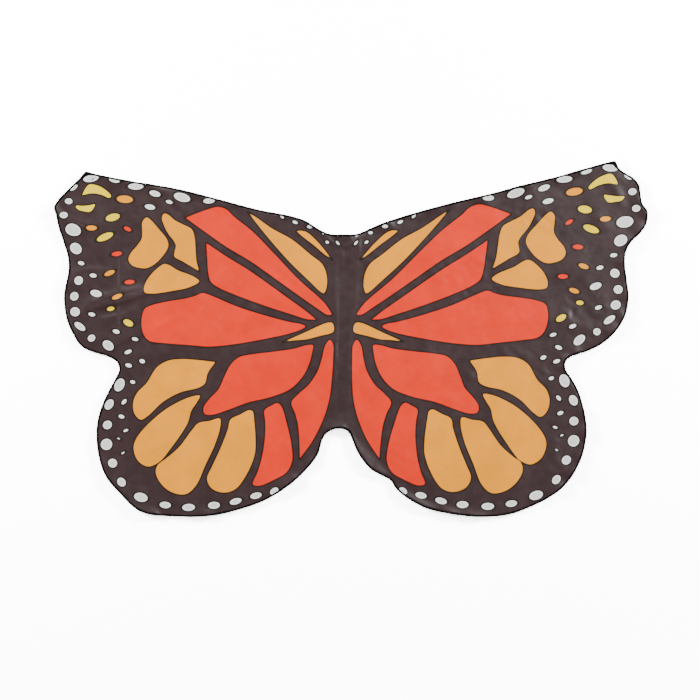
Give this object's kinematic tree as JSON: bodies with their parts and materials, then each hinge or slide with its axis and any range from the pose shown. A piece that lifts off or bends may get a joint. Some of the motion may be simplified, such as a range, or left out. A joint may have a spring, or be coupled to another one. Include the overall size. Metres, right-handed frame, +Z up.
{
  "type": "fairy wings",
  "caption": "Child's soft butterfly costume wings: printed satin cloth with a rolled hem, elastic shoulder straps and elastic finger loops sewn underneath.",
  "frame": {"origin": "middle of the footprint, on the surface that the spread wings lie on", "axes": "+X along the span towards the wearer's right wing tip, +Y towards the neck, +Z up out of the printed face"},
  "size_m": [1.1848, 0.7086, 0.0028],
  "materials": {
    "printed_satin": "printed polyester satin, dark brown-black ground with red, amber, yellow and white cells",
    "hem_thread": "black thread, rolled and overlocked",
    "black_elastic": "flat braided elastic",
    "tack_thread": "dark zigzag sewing thread",
    "label_satin": "blank white satin ribbon"
  },
  "bodies": {
    "back": {"back_cloth": "printed_satin", "neck_hem": "hem_thread", "tail_hem": "hem_thread", "left_strap_top_end": "black_elastic", "left_strap_bottom_end": "black_elastic", "right_strap_top_end": "black_elastic", "right_strap_bottom_end": "black_elastic", "left_strap_top_tack": "tack_thread", "left_strap_bottom_tack": "tack_thread", "right_strap_top_tack": "tack_thread", "right_strap_bottom_tack": "tack_thread", "care_label": "label_satin", "care_label_stitch": "tack_thread"},
    "left_wing": {"left_wing_cloth": "printed_satin", "left_wing_hem": "hem_thread", "left_finger_loop_tab": "black_elastic", "left_finger_loop_tack": "tack_thread"},
    "right_wing": {"right_wing_cloth": "printed_satin", "right_wing_hem": "hem_thread", "right_finger_loop_tab": "black_elastic", "right_finger_loop_tack": "tack_thread"},
    "left_strap": {"left_shoulder_strap": "black_elastic"},
    "right_strap": {"right_shoulder_strap": "black_elastic"},
    "left_finger": {"left_finger_loop": "black_elastic"},
    "right_finger": {"right_finger_loop": "black_elastic"}
  },
  "joints": [
    {"name": "left_wing_fold", "type": "hinge", "parent": "back", "child": "left_wing", "pos_m": [-0.06181, 0, 0.0028], "axis": [0, 1, 0], "range_deg": [0, 90]},
    {"name": "right_wing_fold", "type": "hinge", "parent": "back", "child": "right_wing", "pos_m": [0.03019, 0, 0.0028], "axis": [0, -1, 0], "range_deg": [0, 90]},
    {"name": "left_strap_swing", "type": "hinge", "parent": "back", "child": "left_strap", "pos_m": [-0.0538, 0.19244, 0], "axis": [0.1227, -0.9924, 0], "range_deg": [0, 90]},
    {"name": "right_strap_swing", "type": "hinge", "parent": "back", "child": "right_strap", "pos_m": [0.02219, 0.19241, 0], "axis": [0.1227, 0.9924, 0], "range_deg": [0, 90]},
    {"name": "left_finger_loop_swing", "type": "hinge", "parent": "left_wing", "child": "left_finger", "pos_m": [-0.51365, 0.31704, 0], "axis": [0.7071, 0.7071, 0], "range_deg": [0, 90]},
    {"name": "right_finger_loop_swing", "type": "hinge", "parent": "right_wing", "child": "right_finger", "pos_m": [0.51243, 0.33618, 0], "axis": [0.788, -0.6157, 0], "range_deg": [0, 90]}
  ]
}
